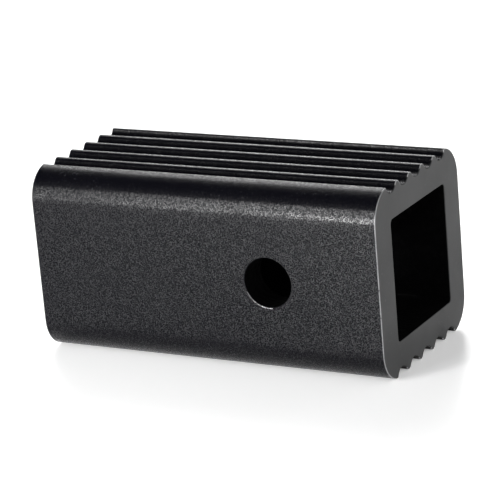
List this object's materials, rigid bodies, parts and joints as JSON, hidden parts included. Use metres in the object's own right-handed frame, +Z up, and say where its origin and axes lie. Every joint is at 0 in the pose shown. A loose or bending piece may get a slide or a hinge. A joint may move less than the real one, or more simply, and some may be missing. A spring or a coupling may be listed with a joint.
{
  "type": "hitch adapter",
  "caption": "Square reducer sleeve for a tow hitch: extruded body, square socket right through, grooved top and bottom, cross hole for the hitch pin.",
  "frame": {"origin": "centre of the sleeve: on the socket's axis, half way along the length", "axes": "+X along the socket, out of the end that the pin hole is nearer to; +Y across, along the pin hole; +Z up, out of the grooved top"},
  "size_m": [0.1016, 0.0508, 0.0508],
  "materials": {
    "coating": "matte"
  },
  "bodies": {
    "root": {"adapter_body": "coating"}
  },
  "joints": []
}
